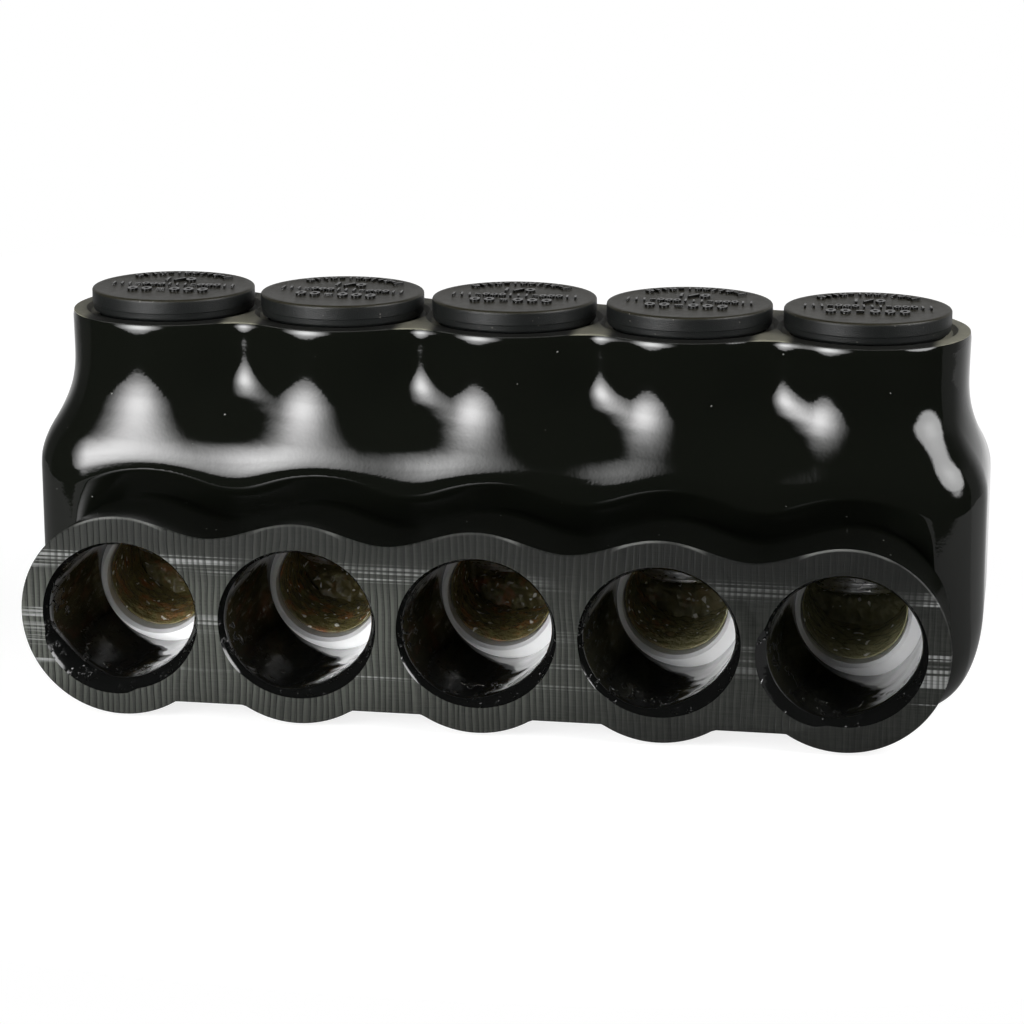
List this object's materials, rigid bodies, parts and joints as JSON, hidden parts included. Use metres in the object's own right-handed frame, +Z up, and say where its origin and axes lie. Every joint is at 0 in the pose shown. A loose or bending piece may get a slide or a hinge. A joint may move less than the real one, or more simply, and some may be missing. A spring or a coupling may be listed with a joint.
{
  "type": "insulated multi-tap connector",
  "caption": "Row of blind conductor ports in an aluminium tap block under one thick glossy black cover, with a capped set screw tower over each port.",
  "frame": {"origin": "middle of the bounding box at the height of the underside", "axes": "+X along the row of taps, +Y the way a conductor goes in, +Z up through the set screws"},
  "size_m": [0.2384, 0.087, 0.0977],
  "materials": {
    "dipped_cover": "thick dipped black vinyl, high gloss",
    "access_cap": "satin black moulded vinyl",
    "bare_aluminium": "extruded bar with drilled bores",
    "screw_aluminium": "turned, with a hex socket",
    "inhibitor_paste": "wet dark brown grease"
  },
  "bodies": {
    "connector": {"insulating_cover": "dipped_cover", "tap_block": "bare_aluminium", "inhibitor_paste_1": "inhibitor_paste", "inhibitor_paste_2": "inhibitor_paste", "inhibitor_paste_3": "inhibitor_paste", "inhibitor_paste_4": "inhibitor_paste", "inhibitor_paste_5": "inhibitor_paste"},
    "screw_1": {"set_screw_1": "screw_aluminium"},
    "screw_2": {"set_screw_2": "screw_aluminium"},
    "screw_3": {"set_screw_3": "screw_aluminium"},
    "screw_4": {"set_screw_4": "screw_aluminium"},
    "screw_5": {"set_screw_5": "screw_aluminium"},
    "cap_1": {"access_cap_1": "access_cap"},
    "cap_2": {"access_cap_2": "access_cap"},
    "cap_3": {"access_cap_3": "access_cap"},
    "cap_4": {"access_cap_4": "access_cap"},
    "cap_5": {"access_cap_5": "access_cap"}
  },
  "joints": [
    {"name": "screw_1_travel", "type": "slide", "parent": "connector", "child": "screw_1", "axis": [0, 0, -1], "range_m": [-0.011, 0.006]},
    {"name": "screw_2_travel", "type": "slide", "parent": "connector", "child": "screw_2", "axis": [0, 0, -1], "range_m": [-0.0115, 0.0055]},
    {"name": "screw_3_travel", "type": "slide", "parent": "connector", "child": "screw_3", "axis": [0, 0, -1], "range_m": [-0.0112, 0.0058]},
    {"name": "screw_4_travel", "type": "slide", "parent": "connector", "child": "screw_4", "axis": [0, 0, -1], "range_m": [-0.012, 0.005]},
    {"name": "screw_5_travel", "type": "slide", "parent": "connector", "child": "screw_5", "axis": [0, 0, -1], "range_m": [-0.0129, 0.0041]},
    {"name": "cap_1_lift", "type": "slide", "parent": "connector", "child": "cap_1", "axis": [0, 0, 1], "range_m": [0, 0.03]},
    {"name": "cap_2_lift", "type": "slide", "parent": "connector", "child": "cap_2", "axis": [0, 0, 1], "range_m": [0, 0.03]},
    {"name": "cap_3_lift", "type": "slide", "parent": "connector", "child": "cap_3", "axis": [0, 0, 1], "range_m": [0, 0.03]},
    {"name": "cap_4_lift", "type": "slide", "parent": "connector", "child": "cap_4", "axis": [0, 0, 1], "range_m": [0, 0.03]},
    {"name": "cap_5_lift", "type": "slide", "parent": "connector", "child": "cap_5", "axis": [0, 0, 1], "range_m": [0, 0.03]}
  ]
}
